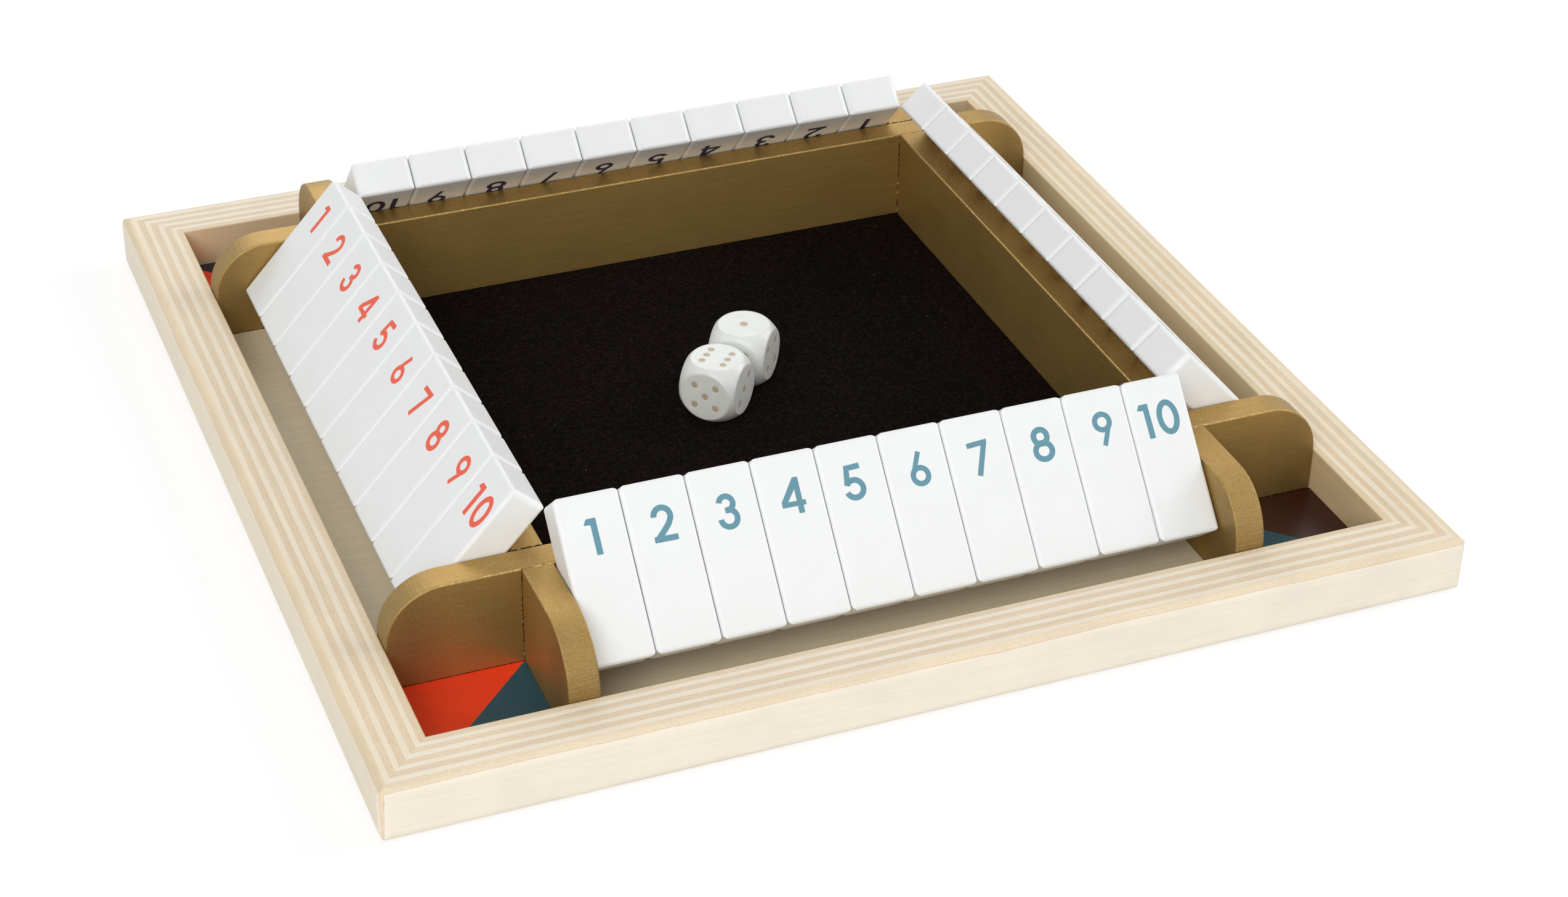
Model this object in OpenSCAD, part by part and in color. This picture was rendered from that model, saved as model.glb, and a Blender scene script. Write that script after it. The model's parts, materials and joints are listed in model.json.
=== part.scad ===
// Shut the box game for four players, in millimetres.
// The origin is the centre of the underside, +Z is up and -Y is the front.
// Every side has the same rail, row of flaps and rod, turned a quarter turn about the centre.

/* [Frame] */
// Thickness of the plywood that the frame rails are cut from
rail_w = 18.8; // [14:0.2:24]
// Height of a rail
rail_h = 18.6; // [14:0.2:22]
// Radius of the frame's rounded outer arrises
rail_r = 3.2; // [1:0.1:5]
// Radius of the frame's eased inner arris
rail_in_r = 0.5; // [0.2:0.1:1]

/* [Base panel] */
// Thickness of the panel
panel_t = 4; // [3:0.5:6]
// Height of the panel's underside above the table
panel_lift = 0.4; // [0.2:0.1:1]
// Width of the rebate in the rails that holds the panel
rebate_w = 6; // [4:0.5:9]
// Gap between the panel's edge and the rebate
panel_fit = 0.1; // [0.05:0.05:0.3]

/* [Felt] */
// Thickness of the felt on the floor of the well
felt_t = 1.6; // [1:0.2:3]
// Gap between the felt and the boards round it
felt_gap = 0.4; // [0.2:0.1:1]

/* [Boards] */
// Thickness of the four boards round the well
board_t = 9.6; // [8:0.2:12]
// Radius of a board's rounded end
board_end_r = 18; // [8:1:22]
// Radius of a board's eased arrises
board_arris_r = 0.6; // [0.3:0.1:1]
// Gap round each halving joint
lap_fit = 0.05; // [0.02:0.01:0.1]
// Gap between a board's end and the rail it meets
board_fit = 0.1; // [0.05:0.05:0.3]

/* [Flaps] */
// Number of flaps on each side
flap_count = 10; // [6:1:10]
// Width of a flap, along its rod
flap_w = 19.75; // [16:0.05:24]
// Length of a flap
flap_l = 49.5; // [42:0.5:56]
// Thickness of a flap
flap_t = 12.5; // [9:0.5:14]
// Angle of a leaning flap above the horizontal, in degrees
lean = 47.8; // [42:0.2:55]
// Radius of the corners of a flap's two faces
flap_corner_r = 2; // [0.8:0.1:2.5]
// Radius of a flap's other arrises
flap_arris_r = 1.2; // [0.5:0.1:2]
// Gap between two flaps of a row
flap_gap = 0.3; // [0.2:0.05:0.6]
// Gap between a row's last flap and the board beside it
row_gap = 0.3; // [0.2:0.05:0.6]
// Gap between the rounded face corners of two rows, before their arrises widen it
corner_gap = 0.1; // [0.1:0.05:1]
// Gap between a leaning flap and the board that it leans on
lean_gap = 0.15; // [0.1:0.05:0.3]
// Free width beyond the swing of a flap's foot, up to the rail
trough_gap = 9.5; // [2:0.1:16]

/* [Rods] */
// Diameter of a rod
rod_d = 3; // [2:0.5:4]
// Height of a rod's axis above the base panel
rod_h = 16.8; // [12:0.2:22]
// Distance from a rod's axis to the foot of a flap
rod_foot = 6; // [4.5:0.5:9]
// Depth to which a rod enters a board
rod_in = 6; // [4:0.5:7]
// Radial running clearance of a flap on its rod
rod_fit = 0.05; // [0.02:0.01:0.1]
// Radial gap of a rod in its blind hole
rod_hold = 0.02; // [0.01:0.01:0.05]
// Gap at the bottom of a blind hole
rod_end_gap = 0.2; // [0.1:0.1:0.5]

/* [Dice] */
// Side of a die
die_side = 19.6; // [16:0.2:22]
// Radius of the sphere that rounds a die's corners off
die_r = 13; // [12:0.1:15]
// Diameter of a pip
pip_d = 2.2; // [1.6:0.1:3]
// Diameter of the single pip of a one
one_pip_d = 2.6; // [1.6:0.1:4]
// Depth of a pip
pip_depth = 0.25; // [0.1:0.05:0.5]
// Distance between two rows of pips
pip_pitch = 3.7; // [3:0.1:4.5]
// Place of the front die from the centre, and its turn in degrees
die_front_place = [-9.6, -3.1, -44.3];
// Place of the rear die from the centre, and its turn in degrees
die_rear_place = [6.3, 13.6, -40.3];

/* [Hidden] */
$fn = 48;
// How far a cutting shape runs past what it cuts
past = 1;
SIDES = ["front", "right", "back", "left"];

// Lengths along a row
flap_pitch = flap_w + flap_gap;
row_half = (flap_count * flap_pitch - flap_gap) / 2;
well_half = row_half + row_gap;
board_out = well_half + board_t;

// A flap leans on its board's outer top arris. Two rows meet at a corner of the well, each on its
// own side of the diagonal, and the rounded corners of the faces let the tips reach further in.
corner_ease = (1 + cos(lean) - norm([1, cos(lean)])) * flap_corner_r;
tip_out = row_half + corner_gap / sqrt(2) - corner_ease;
rod_out = tip_out + (flap_l - rod_foot) * cos(lean) + flap_t / 2 * sin(lean);
rod_rise = ((rod_out - board_out) * sin(lean) - flap_t / 2 - lean_gap) / cos(lean);
rod_z = panel_lift + panel_t + rod_h;

// Heights and outer sizes that follow
panel_top = panel_lift + panel_t;
board_h = rod_h + rod_rise;
foot_swing = norm([rod_foot, flap_t / 2]);
frame_in = rod_out + foot_swing + trough_gap;
frame_half = frame_in + rail_w;
panel_half = frame_in + rebate_w - panel_fit;
board_half = frame_in - board_fit;
felt_half = well_half - felt_gap;
felt_top = panel_top + felt_t;
rod_half = well_half + rod_in;

// A shut flap's outer face comes to rest on the rail's eased inner arris.
arris_place = [frame_in + rail_in_r - rod_out, rail_h - rail_in_r - rod_z];
shut_rise = asin((flap_t / 2 + lean_gap + rail_in_r) / norm(arris_place))
    + atan2(arris_place.y, arris_place.x);
flap_turn = 180 - lean - shut_rise;
echo(str("A flap turns ", flap_turn, " degrees, from its board to the frame"));

// Numbers on the faces of a die: top, front and right, each opposite one that makes seven
DIE_FRONT_FACES = [6, 5, 3];
DIE_REAR_FACES = [1, 5, 4];

function two_digits(i) = i < 10 ? str("0", i) : str(i);
function flap_name(k, i) = str("flap_", SIDES[k], "_", two_digits(i));

// Turns a piece of the front side to side k, counted anticlockwise from the front.
module to_side(k) {
    rotate([0, 0, 90 * k]) children();
}

// A rectangle with four round corners
module round_rect(a, b, r) {
    square([a - 2 * r, b], center = true);
    square([a, b - 2 * r], center = true);
    for (x = [-1, 1], y = [-1, 1])
        translate([x * (a / 2 - r), y * (b / 2 - r)]) circle(r);
}

// A block with every arris rounded: rx, ry and rz are the radii of those along X, Y and Z.
module round_block(size, rx, ry, rz) {
    intersection() {
        linear_extrude(size.z, center = true) round_rect(size.x, size.y, rz);
        rotate([90, 0, 0]) linear_extrude(size.y, center = true) round_rect(size.x, size.z, ry);
        rotate([90, 0, 90]) linear_extrude(size.x, center = true) round_rect(size.y, size.z, rx);
    }
}

// Section of a rail, from its inner face at 0 outwards, with the rebate for the base panel
module rail_section() {
    difference() {
        union() {
            square([rail_w - rail_r, rail_h - rail_in_r]);
            translate([rail_in_r, 0]) square([rail_w - rail_in_r - rail_r, rail_h]);
            translate([0, rail_r]) square([rail_w, rail_h - 2 * rail_r]);
            translate([rail_in_r, rail_h - rail_in_r]) circle(rail_in_r);
            for (z = [rail_r, rail_h - rail_r])
                translate([rail_w - rail_r, z]) circle(rail_r);
        }
        translate([-past, -past]) square([rebate_w + past, panel_top + past]);
    }
}

// One rail of the frame, mitred at both ends
module rail() {
    color("burlywood") intersection() {
        rotate([90, 0, 90]) linear_extrude(2 * (frame_half + past), center = true)
            translate([-frame_in, 0]) mirror([1, 0]) rail_section();
        linear_extrude(rail_h) intersection() {
            round_rect(2 * frame_half, 2 * frame_half, rail_r);
            polygon([[0, 0], [-frame_half, -frame_half], [frame_half, -frame_half]]);
        }
    }
}

module base_panel() {
    color("tan") translate([-panel_half, -panel_half, panel_lift])
        cube([2 * panel_half, 2 * panel_half, panel_t]);
}

module felt_mat() {
    color("black") translate([-felt_half, -felt_half, panel_top])
        cube([2 * felt_half, 2 * felt_half, felt_t]);
}

// Section across a board: it reaches from 0 to w, and its two far corners are eased.
module eased_section(w) {
    translate([0, -board_t / 2]) square([w - board_arris_r, board_t]);
    translate([0, -board_t / 2 + board_arris_r]) square([w, board_t - 2 * board_arris_r]);
    for (s = [-1, 1])
        translate([w - board_arris_r, s * (board_t / 2 - board_arris_r)]) circle(board_arris_r);
}

// Half of a board, from its middle to its rounded end, standing on the panel
module half_board() {
    straight = board_half - board_end_r;
    // The long part, with its top arrises eased
    rotate([0, -90, 180]) linear_extrude(straight) eased_section(board_h);
    // The upright end below the round corner
    translate([straight, 0, 0]) linear_extrude(board_h - board_end_r) eased_section(board_end_r);
    // The round corner, a quarter of an eased disc
    intersection() {
        translate([straight, 0, board_h - board_end_r]) rotate([90, 0, 0])
            rotate_extrude($fn = 96) eased_section(board_end_r);
        translate([straight, -board_t, board_h - board_end_r])
            cube([board_end_r, 2 * board_t, board_end_r]);
    }
}

// One board on the front side. Where over is true it is halved from below and crosses over the
// boards beside it, and otherwise it is halved from above.
module board(over) {
    notch_w = board_t + 2 * lap_fit;
    notch_h = board_h / 2 + lap_fit;
    color("darkgoldenrod") translate([0, -well_half - board_t / 2, panel_top]) difference() {
        union() {
            half_board();
            mirror([1, 0, 0]) half_board();
        }
        for (s = [-1, 1]) {
            translate([s * (well_half + board_t / 2) - notch_w / 2, -board_t,
                       over ? -past : board_h - notch_h])
                cube([notch_w, 2 * board_t, notch_h + past]);
            // Blind hole for the end of the next side's rod
            translate([s * rod_out, board_t / 2 - rod_in - rod_end_gap, rod_z - panel_top])
                rotate([-90, 0, 0]) cylinder(r = rod_d / 2 + rod_hold, h = rod_in + rod_end_gap + past);
        }
    }
}

// The rod that a side's flaps turn on
module rod() {
    color("silver") translate([0, -rod_out, rod_z]) rotate([0, 90, 0])
        cylinder(d = rod_d, h = 2 * rod_half, center = true);
}

// Flap number i of the front side, leaning inwards on its board
module flap(i) {
    color("white")
        translate([(i - (flap_count + 1) / 2) * flap_pitch, -rod_out, rod_z])
        rotate([lean - 90, 0, 0]) difference() {
            translate([0, 0, flap_l / 2 - rod_foot])
                round_block([flap_w, flap_t, flap_l], flap_arris_r, flap_corner_r, flap_arris_r);
            rotate([0, 90, 0]) cylinder(r = rod_d / 2 + rod_fit, h = flap_w + 2 * past, center = true);
        }
}

// Places of n pips on a face, in steps of the pip pitch
function pip_places(n) = concat(
    n % 2 == 1 ? [[0, 0]] : [],
    n >= 2 ? [[-1, -1], [1, 1]] : [],
    n >= 4 ? [[-1, 1], [1, -1]] : [],
    n == 6 ? [[-1, 0], [1, 0]] : []
);

// The pips of one face, cut down from the top of a die centred on the origin
module pips(n) {
    for (p = pip_places(n))
        translate([p.x * pip_pitch, p.y * pip_pitch, die_side / 2 - pip_depth])
            cylinder(d = n == 1 ? one_pip_d : pip_d, h = pip_depth + past, $fn = 24);
}

// A die that stands on the felt, with faces = [top, front, right]
module die(place, faces) {
    color("white")
        translate([place[0], place[1], felt_top + die_side / 2]) rotate([0, 0, place[2]]) difference() {
            intersection() {
                cube(die_side, center = true);
                sphere(r = die_r, $fn = 96);
            }
            pips(faces[0]);
            rotate([180, 0, 0]) pips(7 - faces[0]);
            rotate([90, 0, 0]) pips(faces[1]);
            rotate([-90, 0, 0]) pips(7 - faces[1]);
            rotate([90, 0, 90]) pips(faces[2]);
            rotate([90, 0, -90]) pips(7 - faces[2]);
        }
}

base_panel();
felt_mat();
for (k = [0 : 3]) {
    to_side(k) rail();
    to_side(k) board(k % 2 == 0);
    to_side(k) rod();
    for (i = [1 : flap_count])
        to_side(k) flap(i);
}
die(die_front_place, DIE_FRONT_FACES);  // die_front
die(die_rear_place, DIE_REAR_FACES);  // die_rear
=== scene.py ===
"""Looks of a four-player shut the box game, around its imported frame. Lengths are in metres."""
import json
import math
import random

import bpy
from mathutils import Matrix, Vector, geometry, noise


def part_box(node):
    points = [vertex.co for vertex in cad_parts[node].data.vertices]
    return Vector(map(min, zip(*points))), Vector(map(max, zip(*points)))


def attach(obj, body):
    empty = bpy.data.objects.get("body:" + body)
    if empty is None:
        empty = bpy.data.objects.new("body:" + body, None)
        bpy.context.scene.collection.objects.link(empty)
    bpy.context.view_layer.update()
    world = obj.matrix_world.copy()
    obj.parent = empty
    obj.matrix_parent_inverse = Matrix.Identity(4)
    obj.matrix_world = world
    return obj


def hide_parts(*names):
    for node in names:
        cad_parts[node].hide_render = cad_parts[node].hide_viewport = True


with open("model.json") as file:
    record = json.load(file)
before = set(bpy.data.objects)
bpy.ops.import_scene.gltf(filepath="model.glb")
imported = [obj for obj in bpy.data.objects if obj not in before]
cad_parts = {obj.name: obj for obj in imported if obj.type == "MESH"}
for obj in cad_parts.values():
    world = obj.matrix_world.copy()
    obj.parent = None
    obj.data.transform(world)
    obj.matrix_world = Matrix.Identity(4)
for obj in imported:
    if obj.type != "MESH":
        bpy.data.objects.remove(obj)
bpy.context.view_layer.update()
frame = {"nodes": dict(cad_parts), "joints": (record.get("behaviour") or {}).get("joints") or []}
NODES = frame["nodes"]

MM = 0.001
SIDES = ("front", "right", "back", "left")
FLAPS = range(1, 11)

# The camera, as solved from the frame's corners and edges in the photo
CAMERA_PLACE = (-0.31405, -0.79427, 0.54221)
CAMERA_TURN = (57.491, -0.680, -21.315)
CAMERA_LENS = 70.07
CAMERA_SHIFT = (0.0229, -0.0191)

# Even light from all round, and soft square lamps: azimuth and elevation in degrees, and watts
DOME = 0.34
LAMPS = {
    "key": (-127, 36, 46), "front": (-90, 18, 13), "left": (180, 40, 5),
    "right": (0, 30, 42), "back": (90, 35, 22),
}
LAMP_AWAY = 3.2
LAMP_SIZE = 1.8

# The open floor as the camera sees it, so that it ends up white and still darkens in the shadow
GLOW = 1.14
GLOW_SHARE = 0.6
FLOOR_REACH = 6.0

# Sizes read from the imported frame
FRAME_HALF = -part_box("front_rail")[0].y
FRAME_IN = -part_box("front_rail")[1].y
RAIL_W = FRAME_HALF - FRAME_IN
WELL_HALF = -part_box("front_board")[1].y
BOARD_OUT = -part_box("front_board")[0].y
BOARD_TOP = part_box("front_board")[1].z
PANEL_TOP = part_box("base_panel")[1].z
FELT_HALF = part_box("felt_mat")[1].x

# Angle of a leaning flap above the horizontal, for the run of its grain
LEAN = 47.8

# Plies of a rail: how deep each starts below the outer face, in millimetres, and what it is
PLIES = (
    (0.0, "veneer"), (0.55, "glue"), (0.66, "yellow"), (2.95, "light"), (4.8, "line"), (4.88, "dark"),
    (6.95, "light"), (8.65, "line"), (8.73, "dark"), (10.75, "line"), (10.85, "light"), (12.8, "dark"),
    (14.7, "line"), (14.8, "light"), (16.4, "dark"), (18.4, "inner"),
)
PLY_COLOURS = {
    "veneer": (240, 231, 213), "glue": (222, 178, 150), "yellow": (235, 217, 187),
    "light": (237, 226, 206), "dark": (226, 207, 178), "inner": (224, 204, 168),
    "line": (208, 180, 146),
}
# Plies whose grain runs along the rail, and so shows as streaks
GRAIN_PLIES = ("veneer", "light", "inner")
# The wood of the left and right rails is a little warmer
WARMTH = {0: (1.0, 1.0, 1.0, 1.0), 1: (0.985, 0.96, 0.91, 1.0)}

# Gold paint: the dark of a seam, bare wood in a chip, and how much duller the boards' ends are
SEAM = (58, 40, 22)
CHIP = (226, 206, 168)
END_PAINT = (0.74, 0.75, 0.8, 1.0)
SEAM_WIDTH = 0.16 * MM
CHIP_WIDTH = 0.3 * MM
ARRIS_WIDTH = 0.3 * MM

# Paint of the numbers and of the corner fields on the four sides
SIDE_PAINT = {
    "front": (98, 148, 164), "right": (112, 34, 38), "back": (36, 34, 74), "left": (243, 96, 68),
}
FIELD_PAINT = {
    "front": (24, 80, 98), "right": (48, 4, 6), "back": (30, 30, 64), "left": (252, 62, 30),
}

# Numbers, drawn with strokes on a baseline, in millimetres
STROKE = 1.75
DIGIT_H = 10.8
EDGE_STEP = 0.3
PRINT_SUNK = 0.02
PRINT_PROUD = 0.035
NUMBER_TOP = 7.5
FRAY = 0.035

# How far each number of the front and left rows is printed off the flap's middle and line, in mm
PRINT_OFF = {
    "front": ((-0.5, 0.1), (0.5, -0.1), (0.1, -0.6), (0.2, -0.1), (-0.6, 0.1),
              (0.5, 0.2), (0.1, -0.6), (0.5, -0.3), (1.1, 0.4), (-0.3, 0.0)),
    "left": ((0.3, 1.2), (1.1, 0.6), (1.0, 0.5), (0.7, 0.7), (0.3, 0.8),
             (1.3, 0.6), (1.8, 0.3), (0.9, 0.2), (1.8, 0.6), (1.3, 0.5)),
}

# Corner fields: clearance from the walls, and how far the line between two colours wanders
FIELD_GAP = 0.03 * MM
FIELD_WOBBLE = 0.12 * MM
FIELD_STEPS = 60

# Dice: each one's turn, and its top, front and right numbers, as the part has them
DICE = {"die_front": (-44.3, (6, 5, 3)), "die_rear": (-40.3, (1, 5, 4))}
# Pips, in millimetres: radii of the fill, spacing, depth, and the fill's level from the face
PIP_R = 1.11
ONE_PIP_R = 1.31
PIP_PITCH = 3.7
PIP_DEPTH = 0.25
PIP_LEVEL = -0.03
PIP_SIDES = 24

# Felt: cells to a side, height of its fuzz, drop of its rim and raggedness of its edge
FELT_CELLS = 150
FELT_FUZZ = 0.12 * MM
FELT_DROP = 0.35 * MM
FELT_RAGGED = 0.25 * MM


def linear(rgb):
    """A colour as eyes see it, 0 to 255, as the shader wants it."""
    return [v / 255 / 12.92 if v < 10.3 else ((v / 255 + 0.055) / 1.055) ** 2.4 for v in rgb] + [1.0]


def grey(value):
    """A grey for a ramp that carries a number."""
    return [value, value, value, 1.0]


def along(axis, lengthwise, across):
    """Noise density for grain that runs along X (0) or Y (1)."""
    return [lengthwise if i == axis else across for i in range(3)]


class Tree:
    """A node tree and short calls that add nodes to it."""

    def __init__(self, node_tree):
        self.nodes = node_tree.nodes
        self.links = node_tree.links

    def put(self, socket, value):
        """Links a node or an output to the socket, or sets the socket to a plain value."""
        if isinstance(value, bpy.types.Node):
            value = value.outputs[0]
        if isinstance(value, bpy.types.NodeSocket):
            self.links.new(value, socket)
        else:
            socket.default_value = value

    def add(self, kind, *values, **settings):
        """A node of that kind. values fill its inputs in order, and None leaves one as it is."""
        node = self.nodes.new("ShaderNode" + kind)
        for name, value in settings.items():
            setattr(node, name, value)
        for socket, value in zip(node.inputs, values):
            if value is not None:
                self.put(socket, value)
        return node

    def math(self, operation, *values):
        return self.add("Math", *values, operation=operation)

    def product(self, first, *others):
        for other in others:
            first = self.math("MULTIPLY", first, other)
        return first

    def span(self, value, low, high, to_low=0.0, to_high=1.0):
        """value from low to high, mapped to to_low to to_high and held there."""
        return self.add("MapRange", value, low, high, to_low, to_high)

    def looked_at(self):
        """1 for rays from the camera, gloss or glass, and 0 for rays that carry plain light."""
        ray = self.add("LightPath").outputs
        mirrored = self.math("MAXIMUM", ray["Is Glossy Ray"], ray["Is Transmission Ray"])
        return self.math("MAXIMUM", ray["Is Camera Ray"], mirrored)


class Paint(Tree):
    """A material, its nodes and short calls for what paints and woods are made of."""

    def __init__(self, name, colour, roughness=0.5, metallic=0.0):
        self.material = bpy.data.materials.new(name)
        self.material.use_nodes = True
        super().__init__(self.material.node_tree)
        self.shader = self.nodes["Principled BSDF"]
        self.put(self.shader.inputs["Base Color"], linear(colour))
        self.put(self.shader.inputs["Roughness"], roughness)
        self.put(self.shader.inputs["Metallic"], metallic)
        self.place = self.add("TexCoord").outputs["Object"]

    def turned(self, place, degrees):
        """The place turned about the axes."""
        return self.add("Mapping", place, None, [math.radians(d) for d in degrees])

    def noise(self, density, detail=3.0, rough=0.55, place=None):
        """Noise with that many features to the metre, the same or its own along each axis."""
        scale = density if isinstance(density, list) else [density] * 3
        spread = self.add("Mapping", place or self.place, None, None, scale)
        node = self.add("TexNoise")
        self.put(node.inputs["Vector"], spread)
        self.put(node.inputs["Scale"], 1.0)
        self.put(node.inputs["Detail"], detail)
        self.put(node.inputs["Roughness"], rough)
        return node

    def ramp(self, value, stops, kind="LINEAR"):
        """A colour ramp with (position, linear colour) stops."""
        node = self.add("ValToRGB", value)
        node.color_ramp.interpolation = kind
        points = node.color_ramp.elements
        while len(points) < len(stops):
            points.new(0.5)
        for point, (at, colour) in zip(points, stops):
            point.position = at
            point.color = colour
        return node

    def tones(self, value, *stops):
        """A ramp with (position, (red, green, blue)) stops."""
        return self.ramp(value, [(at, linear(rgb)) for at, rgb in stops])

    def shade(self, value, low, high, start=0.3, end=0.7):
        """A ramp from one grey to another, as a colour's factor or a share."""
        return self.ramp(value, [(start, grey(low)), (end, grey(high))])

    def mix(self, share, a, b, blend="MIX"):
        node = self.add("Mix", data_type="RGBA", blend_type=blend)
        self.put(node.inputs["Factor"], share)
        self.put(node.inputs["A"], a)
        self.put(node.inputs["B"], b)
        return node.outputs["Result"]

    def times(self, colour, *factors):
        """A colour multiplied by others."""
        for factor in factors:
            colour = self.mix(1.0, colour, factor, "MULTIPLY")
        return colour

    def nearest(self, value, places):
        """How far value is from the nearer of two places."""
        away = [self.math("ABSOLUTE", self.math("SUBTRACT", value, at)) for at in places]
        return self.math("MINIMUM", *away)

    def colour(self, value):
        self.put(self.shader.inputs["Base Color"], value)

    def bump(self, height, depth, strength=1.0):
        """Adds relief of that depth, in metres, on top of any that is there."""
        socket = self.shader.inputs["Normal"]
        below = socket.links[0].from_node if socket.links else None
        node = self.add("Bump")
        self.put(node.inputs["Strength"], strength)
        self.put(node.inputs["Distance"], depth)
        self.put(node.inputs["Height"], height)
        if below:
            self.put(node.inputs["Normal"], below)
        self.put(socket, node)


def ply_layers(p, axis):
    """The colour of each ply of a rail, and 1 where its grain runs lengthwise."""
    xyz = p.add("SeparateXYZ", p.place).outputs
    outward = p.math("MAXIMUM", p.math("ABSOLUTE", xyz[0]), p.math("ABSOLUTE", xyz[1]))
    depth = p.math("SUBTRACT", FRAME_HALF, outward)
    waver = p.span(p.noise(along(axis, 22, 70), 2.0), 0.25, 0.75, -0.26 * MM, 0.26 * MM)
    fray = p.span(p.noise(along(axis, 1500, 400), 2.0), 0.25, 0.75, -0.07 * MM, 0.07 * MM)
    wavy = p.math("ADD", depth, p.math("ADD", waver, fray))
    # The outermost face stays veneer, however the lines waver
    inside = p.math("GREATER_THAN", depth, 0.3 * MM)
    share = p.product(p.math("DIVIDE", wavy, RAIL_W), inside)
    starts = [(at * MM / RAIL_W, kind) for at, kind in PLIES]
    wood = p.ramp(share, [(at, linear(PLY_COLOURS[kind])) for at, kind in starts], "CONSTANT")
    grained = [(at, grey(float(kind in GRAIN_PLIES))) for at, kind in starts]
    return wood, p.ramp(share, grained, "CONSTANT")


def ply_rail(axis):
    """Plywood cut across its plies, for the rails that run along X (0) or Y (1)."""
    p = Paint(f"rail_ply_{'xy'[axis]}", PLY_COLOURS["light"], 0.5)
    wood, lengthwise = ply_layers(p, axis)
    # Long grain shows as faint streaks, and cut end grain as fine speckle and soft shades
    streaks = p.shade(p.noise(along(axis, 30, 900), 4.0, 0.6), 0.965, 1.025)
    pores = p.shade(p.noise(along(axis, 1100, 2400), 3.0, 0.7), 0.9, 1.06)
    shades = p.shade(p.noise(along(axis, 18, 420), 3.0), 0.94, 1.04)
    figure = p.mix(lengthwise, p.times(pores, shades), streaks)
    clouds = p.shade(p.noise(60, 2.0), 0.97, 1.02)
    p.colour(p.times(wood, figure, clouds, WARMTH[axis]))
    p.bump(p.noise(along(axis, 60, 2200), 3.0), 0.04 * MM, 0.35)
    p.bump(p.noise(1800, 2.0), 0.03 * MM, 0.35)
    return p.material


def panel_ply():
    """The base panel's birch face, with its grain along X."""
    p = Paint("panel_ply", (238, 224, 194), 0.55)
    grain = p.noise(along(0, 60, 1400), 5.0, 0.7)
    p.colour(p.tones(grain, (0.3, (231, 215, 182)), (0.7, (244, 232, 205))))
    p.bump(grain, 0.03 * MM, 0.3)
    return p.material


def seamed(p, paint, axis, crossing, height):
    """The paint, dark in the seams at the foot and where boards cross, and chipped at the crossings."""
    ragged = p.span(p.noise(900, 3.0, 0.7), 0.3, 0.7, -0.25 * MM, 0.25 * MM)
    gap = p.math("ADD", crossing, ragged)
    foot = p.math("ADD", p.math("SUBTRACT", height, PANEL_TOP + 0.1 * MM), ragged)
    # The boards that run along X lie unbroken on top, so only their upright faces show the seams
    bare = p.math("LESS_THAN", height, BOARD_TOP + (0.5 * axis - 0.2) * MM)
    seam = p.product(p.math("LESS_THAN", p.math("MINIMUM", gap, foot), SEAM_WIDTH), bare)
    flakes = p.math("GREATER_THAN", p.noise(480, 2.0), 0.57)
    chip = p.product(p.math("LESS_THAN", gap, CHIP_WIDTH), bare, flakes)
    return p.mix(chip, p.mix(seam, paint, linear(SEAM)), linear(CHIP))


def pale_arris_dots(p, paint, inside, height):
    """The paint, paler in dots along the top arrises."""
    near_edge = p.math("LESS_THAN", inside, ARRIS_WIDTH)
    near_top = p.math("GREATER_THAN", height, BOARD_TOP - ARRIS_WIDTH)
    dots = p.math("GREATER_THAN", p.noise(1500, 2.0), 0.57)
    return p.mix(p.product(near_edge, near_top, dots, 0.5), paint, linear(CHIP))


def gold(axis):
    """Gold-bronze paint over wood whose grain runs along X (0) or Y (1)."""
    p = Paint(f"board_gold_{'xy'[axis]}", (170, 139, 80), 0.44, 0.74)
    xyz = p.add("SeparateXYZ", p.place).outputs
    run = p.math("ABSOLUTE", xyz[axis])
    crossing = p.nearest(run, (WELL_HALF, BOARD_OUT))
    inside = p.nearest(p.math("ABSOLUTE", xyz[1 - axis]), (WELL_HALF, BOARD_OUT))
    near_end = p.span(run, FRAME_IN - 20 * MM, FRAME_IN - 8 * MM)
    grain = p.noise(along(axis, 60, 1300), 3.0, 0.6)
    fleck = p.noise(2600, 3.0, 0.65)
    tone = p.tones(grain, (0.3, (166, 135, 75)), (0.7, (174, 143, 84)))
    flecks = p.ramp(fleck, [(0.3, grey(0.74)), (0.5, grey(1.0)), (0.72, grey(1.3))])
    clouds = p.shade(p.noise(45, 2.0), 0.94, 1.05)
    # End grain drinks the paint, so the rounded ends are duller
    drunk = p.ramp(near_end, [(0.0, grey(1.0)), (1.0, END_PAINT)])
    paint = p.times(tone, flecks, clouds, drunk)
    p.colour(pale_arris_dots(p, seamed(p, paint, axis, crossing, xyz[2]), inside, xyz[2]))
    p.put(p.shader.inputs["Roughness"], p.span(fleck, 0.3, 0.7, 0.42, 0.56))
    p.bump(grain, 0.05 * MM, 0.35)
    p.bump(p.noise(2600, 2.0, 0.6), 0.14 * MM, 0.5)
    # Saw lines show through the paint on the rounded ends
    end = p.product(near_end, p.math("GREATER_THAN", inside, ARRIS_WIDTH))
    lines = p.noise(along(1 - axis, 60, 1700), 3.0, 0.6)
    p.bump(p.product(lines, end), 0.5 * MM, 0.6)
    return p.material


def white_paint(k):
    """White paint over wood whose grain runs up the flaps of side k."""
    p = Paint(f"flap_white_{SIDES[k]}", (240, 240, 239), 0.42)
    leaned = p.turned(p.turned(p.place, (0, 0, -90 * k)), (90 - LEAN, 0, 0))
    mottle = p.noise(120, 2.0)
    p.colour(p.tones(mottle, (0.3, (238, 240, 239)), (0.7, (240, 242, 242))))
    p.bump(p.noise([900, 900, 40], 3.0, place=leaned), 0.02 * MM, 0.2)
    p.bump(p.noise(700, 2.0), 0.02 * MM, 0.2)
    return p.material


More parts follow.
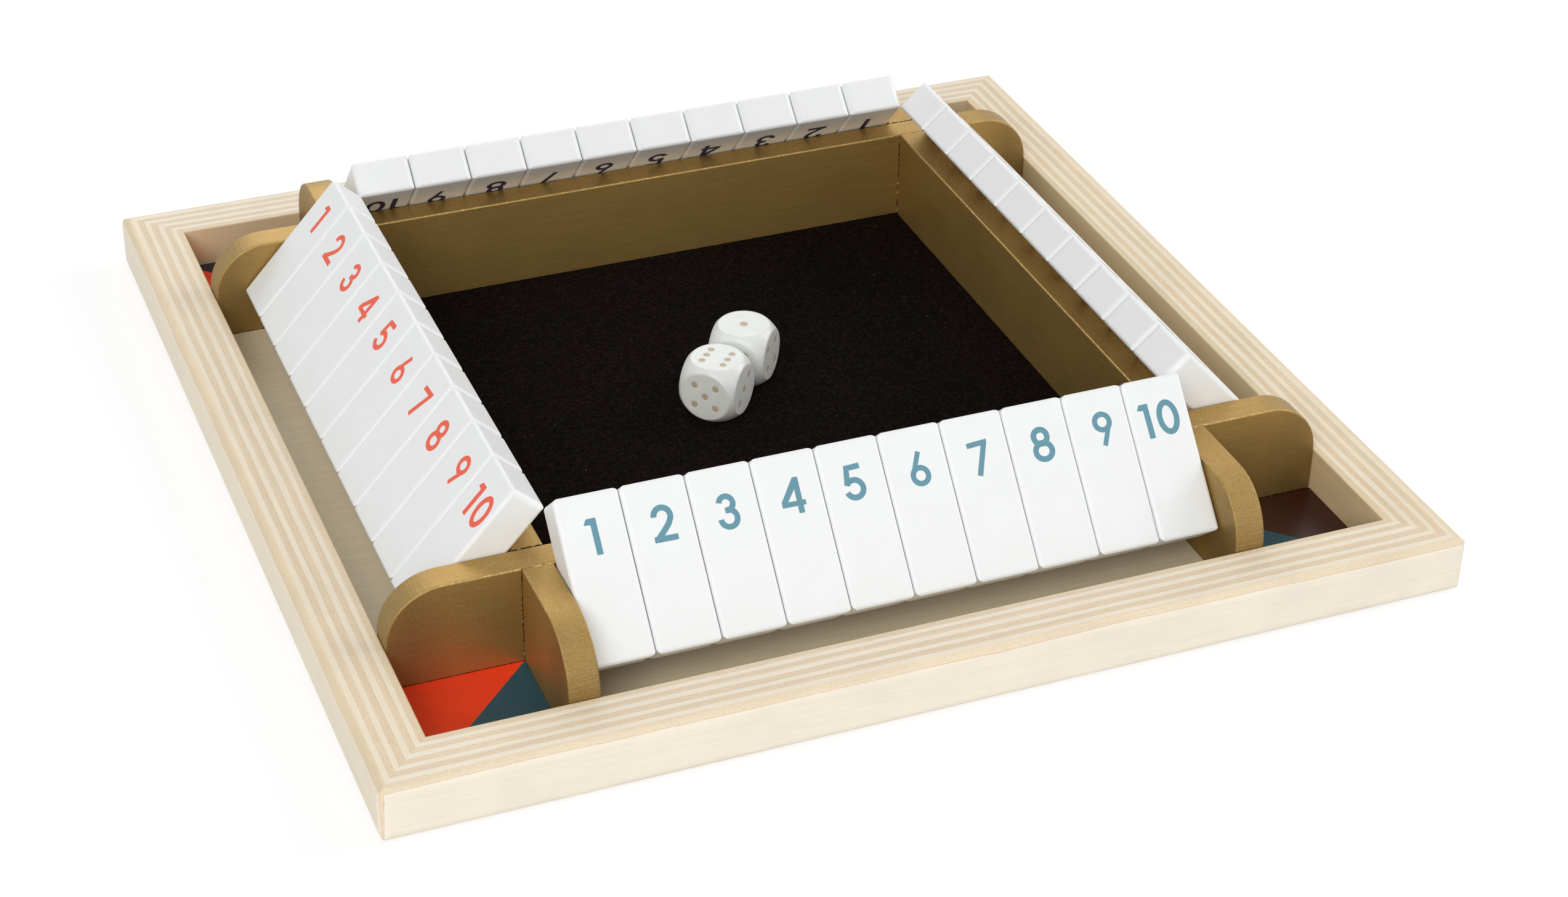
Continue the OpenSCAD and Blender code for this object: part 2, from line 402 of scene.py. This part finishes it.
def steel():
    """Drawn steel wire, its gloss broken by fine scratches."""
    p = Paint("rod_steel", (190, 190, 192), 0.3, 1.0)
    p.put(p.shader.inputs["Roughness"], p.span(p.noise(2500, 2.0), 0.3, 0.7, 0.22, 0.38))
    return p.material


def die_white():
    """Thick white paint, which rounds off the rims of the flat faces and lies a little uneven."""
    p = Paint("die_white", (235, 238, 235), 0.3)
    p.colour(p.tones(p.noise(260, 3.0), (0.3, (231, 234, 231)), (0.7, (237, 240, 237))))
    p.put(p.shader.inputs["Normal"], p.add("Bevel", 1.1 * MM, samples=8))
    p.bump(p.noise([1500, 500, 900], 3.0), 0.12 * MM, 0.5)
    return p.material


def pip_tan():
    """Tan paint in the pips, speckled."""
    p = Paint("pip_tan", (198, 180, 148), 0.55)
    p.colour(p.tones(p.noise(2600), (0.3, (178, 158, 124)), (0.7, (212, 196, 166))))
    return p.material


def print_paint(side):
    """Screen-printed number paint, a little speckled."""
    colour = SIDE_PAINT[side]
    p = Paint(f"number_{side}", colour, 0.5)
    pale = [c + (255 - c) * 0.16 for c in colour]
    deep = [c * 0.94 for c in colour]
    p.colour(p.tones(p.noise(3500, 3.0, 0.7), (0.35, deep), (0.6, colour), (0.78, pale)))
    return p.material


def field_paint(side):
    """Paint of a corner field, cloudy and with tiny pale specks."""
    colour = FIELD_PAINT[side]
    p = Paint(f"field_{side}", colour, 0.3)
    clouds = p.shade(p.noise(90, 3.0), 0.93, 1.05)
    specks = p.shade(p.noise(900, 1.0), 0.0, 0.6, 0.74, 0.78)
    pale = [c + (255 - c) * 0.4 for c in colour]
    p.colour(p.mix(specks, p.times(linear(colour), clouds), linear(pale)))
    p.bump(p.noise(500, 3.0), 0.02 * MM, 0.3)
    return p.material


def felt_black():
    """Black felt with brownish fibres and a little pale lint."""
    p = Paint("felt", (28, 23, 19), 0.95)
    fuzz = p.noise(900, 5.0, 0.75)
    wool = p.tones(fuzz, (0.3, (15, 11, 9)), (0.5, (25, 20, 17)), (0.7, (43, 36, 32)))
    lint = p.shade(p.noise([330, 420, 330], 2.0, 0.6), 0.0, 0.7, 0.735, 0.76)
    p.colour(p.mix(lint, wool, linear((104, 96, 90))))
    p.put(p.shader.inputs["Specular IOR Level"], 0.0)
    p.bump(fuzz, 0.4 * MM, 0.8)
    return p.material


def dress(node, material):
    """Gives a node of the frame its material."""
    mesh = NODES[node].data
    mesh.materials.clear()
    mesh.materials.append(material)


def shown(name, data):
    """An object that shows the data in the scene."""
    made = bpy.data.objects.new(name, data)
    bpy.context.scene.collection.objects.link(made)
    return made


def new_mesh(name, verts, faces, material):
    mesh = bpy.data.meshes.new(name)
    mesh.from_pydata(verts, [], faces)
    mesh.validate()
    mesh.materials.append(material)
    return shown(name, mesh)


def new_piece(name, verts, faces, material, body):
    """A mesh piece that rides on a body."""
    piece = new_mesh(name, verts, faces, material)
    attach(piece, body)
    return piece


def arc(x, y, rx, ry, start, end, steps=28):
    """Points on an ellipse from one angle to another, in degrees."""
    angles = [math.radians(start + (end - start) * i / steps) for i in range(steps + 1)]
    return [(x + rx * math.cos(a), y + ry * math.sin(a)) for a in angles]


def ribbon(points, width=STROKE):
    """The outline of a stroke along these points, with square ends."""
    left, right = [], []
    for i, point in enumerate(points):
        before = Vector(points[max(i - 1, 0)])
        after = Vector(points[min(i + 1, len(points) - 1)])
        side = (after - before).normalized().orthogonal() * (width / 2)
        left.append(Vector(point) + side)
        right.append(Vector(point) - side)
    return left + right[::-1]


def ring(x, y, rx, ry, width=STROKE):
    """A closed stroke round an ellipse, as two halves that overlap a little."""
    return [ribbon(arc(x, y, rx, ry, -2, 182), width), ribbon(arc(x, y, rx, ry, 178, 362), width)]


def digit(n):
    """The outlines of a digit, about x = 0."""
    if n == 0:
        return ring(0, 5.42, 2.72, 4.52, 1.82)
    if n == 1:
        return [ribbon([(0.98, 0), (0.98, 10.73)], 1.87),
                [(-1.95, 9.0), (0.3, 8.8), (0.3, 10.73), (-0.95, 10.73)]]
    if n == 2:
        bowl = arc(0, 7.4, 2.5, 2.5, 180, -22)
        tail = [(1.6, 5.1), (0.5, 3.85), (-1.1, 2.25), (-2.6, 0.8)]
        return [ribbon(bowl + tail), ribbon([(-3.55, 0.87), (3.6, 0.87)], 1.75)]
    if n == 3:
        return [ribbon(arc(0, 7.72, 2.1, 2.1, 168, -90), 1.7),
                ribbon([(-0.65, 5.7), (0.3, 5.7)], 1.7),
                ribbon(arc(0, 3.35, 2.52, 2.52, 90, -180), 1.72)]
    if n == 4:
        return [ribbon([(1.88, 0), (1.88, 10.7)]),
                ribbon([(-3.65, 3.02), (3.7, 3.02)], 1.55),
                [(-3.65, 2.25), (-2.85, 2.25), (1.1, 7.35), (1.1, 10.7), (-3.65, 4.0)]]
    if n == 5:
        return [ribbon(arc(0.05, 3.5, 2.62, 2.62, 146, -162)),
                [(-2.05, 10.65), (-2.0, 9.0), (2.85, 9.25), (2.75, 10.95)],
                [(-2.05, 10.65), (-0.6, 9.6), (-0.85, 7.0), (-1.45, 4.4), (-2.9, 4.95)]]
    if n == 6:
        return ring(0, 3.2, 2.38, 2.38, 1.65) + [ribbon([(0.87, 10.37), (-1.95, 4.3)], 1.5)]
    if n == 7:
        return [[(-3.3, 8.95), (3.0, 9.15), (3.35, 10.8), (-3.3, 10.5)],
                ribbon([(2.55, 10.3), (-1.4, 0.3)], 1.68)]
    if n == 8:
        return ring(-0.1, 7.75, 2.15, 2.15, 1.78) + ring(0, 3.35, 2.65, 2.48, 1.77)
    return [[Vector((-x, DIGIT_H - y)) for x, y in outline] for outline in digit(6)]


def number(n):
    """The outlines of a number, about x = 0."""
    if n < 10:
        return digit(n)
    one = [[(x - 4.65, y) for x, y in outline] for outline in digit(1)]
    nought = [[(x + 2.95, y) for x, y in outline] for outline in digit(0)]
    return one + nought


def fine(outline):
    """The outline with a point at least every EDGE_STEP."""
    points = []
    for i, point in enumerate(outline):
        a, b = Vector(point), Vector(outline[(i + 1) % len(outline)])
        steps = max(1, math.ceil((b - a).length / EDGE_STEP))
        points += [a.lerp(b, j / steps) for j in range(steps)]
    return points


def merged(outlines):
    """One flat mesh of all that the outlines cover, as points and triangles."""
    points, loops = [], []
    for outline in outlines:
        line = fine(outline)
        if sum(a.x * b.y - a.y * b.x for a, b in zip(line, line[1:] + line[:1])) < 0:
            line.reverse()
        loops.append(list(range(len(points), len(points) + len(line))))
        points += line
    made = geometry.delaunay_2d_cdt(points, [], loops, 0, 1e-4, True)
    faces = [tuple(face) for face, source in zip(made[2], made[5]) if source]
    used = sorted({i for face in faces for i in face})
    order = {old: new for new, old in enumerate(used)}
    return [made[0][i] for i in used], [tuple(order[i] for i in face) for face in faces]


def raised(points, faces, low, high):
    """A closed sheet from low to high over a flat mesh."""
    count = len(points)
    verts = [Vector((p.x, p.y, high)) for p in points] + [Vector((p.x, p.y, low)) for p in points]
    edges = {(a, b) for face in faces for a, b in zip(face, face[1:] + face[:1])}
    solid = list(faces) + [tuple(i + count for i in reversed(face)) for face in faces]
    solid += [(a + count, b + count, b, a) for a, b in sorted(edges) if (b, a) not in edges]
    return verts, solid


def frayed(points, seed):
    """The points moved a little, as paint bleeds at the edge of a print."""
    shift = Vector((seed * 17.3, seed * 5.1, 0))
    return [p + FRAY * Vector(noise.noise_vector(Vector((p.x, p.y, 0)) * 2.3 + shift)[:2]) for p in points]


def flap_axes(node, joint):
    """A flap's rod point, row direction, direction up the flap, outer face's normal and extents."""
    mesh = NODES[node].data
    rod = Vector(joint["pos_m"])
    across = Vector(joint["axis"])
    biggest = max((f for f in mesh.polygons if f.normal.z > 0.1), key=lambda f: f.area)
    normal = biggest.normal.normalized()
    upward = normal.cross(across).normalized()
    reach = [v.co - rod for v in mesh.vertices]
    tip = max(r.dot(upward) for r in reach)
    half = max(r.dot(normal) for r in reach)
    return rod, across, upward, normal, tip, half


def print_number(name, shape, place, outer, paint, body):
    """One number, upright on a flap's outer face, or with its top towards the foot on the inner."""
    rod, across, upward, normal, tip, half = place
    verts, solid = raised(*shape, -PRINT_SUNK, PRINT_PROUD)
    sign = 1 if outer else -1
    base = tip - (NUMBER_TOP + (DIGIT_H if outer else 0)) * MM
    middle = rod + upward * base + normal * (half * sign)
    placed = [middle + (across * v.x + upward * sign * v.y + normal * sign * v.z) * MM for v in verts]
    new_piece(name, placed, solid, paint, body)


def print_numbers(paints):
    """Every flap's number, on both of its faces."""
    random.seed(7)
    shapes = {n: merged(number(n)) for n in FLAPS}
    joints = {j["child"]: j for j in frame["joints"]}
    for side in SIDES:
        for n in FLAPS:
            node = f"flap_{side}_{n:02d}"
            place = flap_axes(node, joints[node])
            points, faces = shapes[n]
            for face in ("outer", "inner"):
                off = (random.uniform(-0.5, 0.5), random.uniform(-0.4, 0.4))
                if face == "outer" and side in PRINT_OFF:
                    off = PRINT_OFF[side][n - 1]
                tilt = Matrix.Rotation(math.radians(random.uniform(-1.2, 1.2)), 2)
                inked = frayed([tilt @ p + Vector(off) for p in points], random.uniform(0, 9))
                print_number(f"number_{side}_{n:02d}_{face}", (inked, faces), place, face == "outer",
                             paints[side], node)


def field_shape(k, end):
    """Half of a corner pocket of the front side, and faces that fan out from its outer corner."""
    inner, outer = BOARD_OUT + FIELD_GAP, FRAME_IN - FIELD_GAP
    flat = []
    for i in range(FIELD_STEPS + 1):
        at = inner + (outer - inner) * i / FIELD_STEPS
        wobble = FIELD_WOBBLE * noise.noise(Vector((at * 700, (k + (end > 0)) % 4 * 7.0, 0)))
        flat.append((end * (at + wobble * end), wobble - at))
    flat.append((end * inner, -outer))
    if end < 0:
        flat.reverse()
    corner = flat.index((end * inner, -outer))
    count = len(flat)
    faces = [(corner, (corner + i) % count, (corner + i + 1) % count) for i in range(1, count - 1)]
    return [Vector(p) for p in flat], faces


def paint_fields(paints):
    """The two colours of each corner pocket, which meet on its diagonal."""
    for k, side in enumerate(SIDES):
        turn = Matrix.Rotation(math.radians(90 * k), 3, "Z")
        for end, label in ((-1, "start"), (1, "end")):
            verts, solid = raised(*field_shape(k, end), -0.02 * MM, 0.05 * MM)
            placed = [turn @ (v + Vector((0, 0, PANEL_TOP))) for v in verts]
            new_piece(f"field_{side}_{label}", placed, solid, paints[side], "tray")


def pip_places(n):
    """Places of n pips on a face, in steps of the pip pitch."""
    places = [(0, 0)] if n % 2 else []
    places += [(-1, -1), (1, 1)] if n >= 2 else []
    places += [(-1, 1), (1, -1)] if n >= 4 else []
    return places + ([(-1, 0), (1, 0)] if n == 6 else [])


def die_faces(top, front, right):
    """Each face's number, and the turn that brings the top of the die to that face."""
    x = Matrix.Rotation(math.radians(90), 3, "X")
    z = Matrix.Rotation(math.radians(90), 3, "Z")
    return (
        (top, Matrix.Identity(3)), (7 - top, x @ x), (front, x), (7 - front, x.inverted()),
        (right, z @ x), (7 - right, z.inverted() @ x),
    )


def pip_fill(radius):
    """A shallow dome of paint that fills a pip, as rings of points in millimetres and its faces."""
    rings = ((radius, -PIP_DEPTH - 0.01), (radius, PIP_LEVEL - 0.03), (radius * 0.6, PIP_LEVEL))
    angles = [2 * math.pi * i / PIP_SIDES for i in range(PIP_SIDES)]
    points = [Vector((r * math.cos(a), r * math.sin(a), level)) for r, level in rings for a in angles]
    faces = [tuple(reversed(range(PIP_SIDES))), tuple(range(2 * PIP_SIDES, 3 * PIP_SIDES))]
    for start in (0, PIP_SIDES):
        for i in range(PIP_SIDES):
            a, b = start + i, start + (i + 1) % PIP_SIDES
            faces.append((a, b, b + PIP_SIDES, a + PIP_SIDES))
    return points, faces


def fill_pips(material):
    """Paint that fills the pips of both dice."""
    for node, (turn, numbers) in DICE.items():
        low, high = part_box(node)
        centre = (low + high) / 2
        half = (high.z - low.z) / 2 / MM
        spin = Matrix.Rotation(math.radians(turn), 3, "Z")
        verts, faces = [], []
        for count, lay in die_faces(*numbers):
            points, fill = pip_fill(ONE_PIP_R if count == 1 else PIP_R)
            for x, y in pip_places(count):
                start = len(verts)
                shift = Vector((x * PIP_PITCH, y * PIP_PITCH, half))
                verts += [centre + spin @ (lay @ (p + shift)) * MM for p in points]
                faces += [tuple(start + i for i in face) for face in fill]
        new_piece(f"pips_{node}", verts, faces, material, node)


def felt_top(low, high):
    """Points of the felt's top, row by row: fuzzy, and lower and ragged at the rim."""
    points = []
    for j in range(FELT_CELLS + 1):
        for i in range(FELT_CELLS + 1):
            x = low.x + (high.x - low.x) * i / FELT_CELLS
            y = low.y + (high.y - low.y) * j / FELT_CELLS
            at = Vector((x, y, 0))
            z = high.z + FELT_FUZZ * (noise.noise(at * 900) - 0.5)
            pull = 1
            if min(i, j, FELT_CELLS - i, FELT_CELLS - j) == 0:
                z -= FELT_DROP
                pull -= abs(FELT_RAGGED * noise.noise(at * 500)) / FELT_HALF
            points.append((x * pull, y * pull, z))
    return points


def lay_felt(material):
    """The felt square, with a fuzzy top and slightly ragged edges."""
    low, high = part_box("felt_mat")
    verts = felt_top(low, high)
    count = len(verts)
    verts += [(x, y, low.z + 0.01 * MM) for x, y, _ in verts]
    row = FELT_CELLS + 1
    faces = []
    for j in range(FELT_CELLS):
        for i in range(FELT_CELLS):
            a = j * row + i
            faces.append((a, a + 1, a + row + 1, a + row))
            faces.append((a + row + count, a + row + 1 + count, a + 1 + count, a + count))
    rim = list(range(row))
    rim += [j * row + FELT_CELLS for j in range(1, row)]
    rim += [FELT_CELLS * row + i for i in range(FELT_CELLS - 1, -1, -1)]
    rim += [j * row for j in range(FELT_CELLS - 1, 0, -1)]
    faces += [(a, a + count, b + count, b) for a, b in zip(rim, rim[1:] + rim[:1])]
    felt = new_piece("felt", verts, faces, material, "tray")
    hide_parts("felt_mat")


def make_surround():
    """Even light from all round, which the camera and the object's gloss see as white."""
    world = bpy.data.worlds.new("surround")
    bpy.context.scene.world = world
    world.use_nodes = True
    tree = Tree(world.node_tree)
    back = tree.nodes["Background"]
    tree.put(back.inputs["Color"], (1, 1, 1, 1))
    tree.put(back.inputs["Strength"], tree.span(tree.looked_at(), 0.0, 1.0, DOME, 1.0))


def make_floor():
    """A pale matte floor that the camera sees as white, apart from the object's shadow."""
    p = Paint("floor", (247, 247, 247), 0.9)
    matte = p.add("BsdfDiffuse", (0.9, 0.9, 0.9, 1.0))
    glow = p.add("Emission", (1.0, 1.0, 1.0, 1.0), GLOW)
    blend = p.add("MixShader", p.product(p.looked_at(), GLOW_SHARE), matte, glow)
    p.put(p.nodes["Material Output"].inputs["Surface"], blend)
    corners = [(x * FLOOR_REACH, y * FLOOR_REACH, 0) for x, y in ((-1, -1), (1, -1), (1, 1), (-1, 1))]
    new_mesh("floor", corners, [(0, 1, 2, 3)], p.material)


def make_lamps():
    """Five soft lamps that face the origin."""
    for name, (azimuth, elevation, watts) in LAMPS.items():
        light = bpy.data.lights.new(name, "AREA")
        light.size = LAMP_SIZE
        light.energy = watts
        lamp = shown(name, light)
        around, up = math.radians(azimuth), math.radians(elevation)
        away = Vector((math.cos(up) * math.cos(around), math.cos(up) * math.sin(around), math.sin(up)))
        lamp.location = away * LAMP_AWAY
        lamp.rotation_euler = away.to_track_quat("Z", "Y").to_euler()


def make_camera():
    """The camera, where the photo was taken from."""
    lens = bpy.data.cameras.new("camera")
    lens.lens = CAMERA_LENS
    lens.shift_x, lens.shift_y = CAMERA_SHIFT
    lens.clip_start, lens.clip_end = 0.01, 50.0
    camera = shown("camera", lens)
    camera.location = CAMERA_PLACE
    camera.rotation_euler = [math.radians(d) for d in CAMERA_TURN]
    bpy.context.scene.camera = camera


def dress_nodes():
    """The frame's own nodes in their materials."""
    rails = [ply_rail(0), ply_rail(1)]
    boards = [gold(0), gold(1)]
    rods = steel()
    dice = die_white()
    dress("base_panel", panel_ply())
    for k, side in enumerate(SIDES):
        dress(f"{side}_rail", rails[k % 2])
        dress(f"{side}_board", boards[k % 2])
        dress(f"{side}_rod", rods)
        flaps = white_paint(k)
        for n in FLAPS:
            dress(f"flap_{side}_{n:02d}", flaps)
    for node in DICE:
        dress(node, dice)


bpy.context.scene.view_settings.view_transform = "Standard"
make_camera()
make_surround()
make_floor()
make_lamps()
dress_nodes()
fill_pips(pip_tan())
lay_felt(felt_black())
print_numbers({side: print_paint(side) for side in SIDES})
paint_fields({side: field_paint(side) for side in SIDES})
